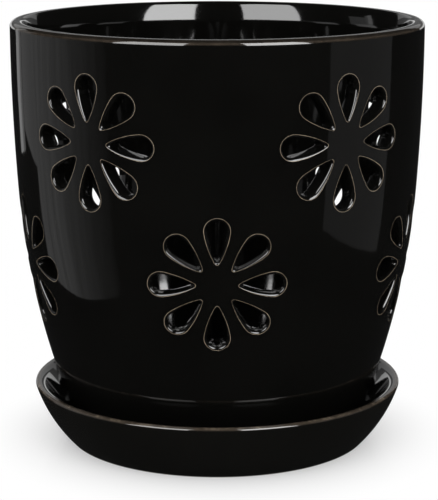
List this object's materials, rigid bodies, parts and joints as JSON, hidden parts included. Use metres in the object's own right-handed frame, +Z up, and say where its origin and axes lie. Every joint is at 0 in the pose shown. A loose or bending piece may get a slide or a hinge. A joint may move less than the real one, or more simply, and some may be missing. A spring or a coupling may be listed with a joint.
{
  "type": "orchid pot with slots",
  "caption": "Round glazed ceramic orchid pot, flared and curved, with flower-shaped air slots through its wall, standing loose in a shallow flared saucer that catches the water.",
  "frame": {"origin": "centre of the saucer's foot, on the table", "axes": "+Z up, -Y is the front: a lower flower faces it"},
  "size_m": [0.155, 0.155, 0.161],
  "materials": {
    "pot_glaze": "deep gloss black glaze, thin and brown where it breaks over the lip and the slots' edges",
    "saucer_glaze": "deep gloss black glaze, thin and brown over the lip"
  },
  "bodies": {
    "saucer": {"saucer": "saucer_glaze"},
    "pot": {"pot": "pot_glaze"}
  },
  "joints": [
    {"name": "pot_lift", "type": "slide", "parent": "saucer", "child": "pot", "axis": [0, 0, 1], "range_m": [0, 0.06]}
  ]
}
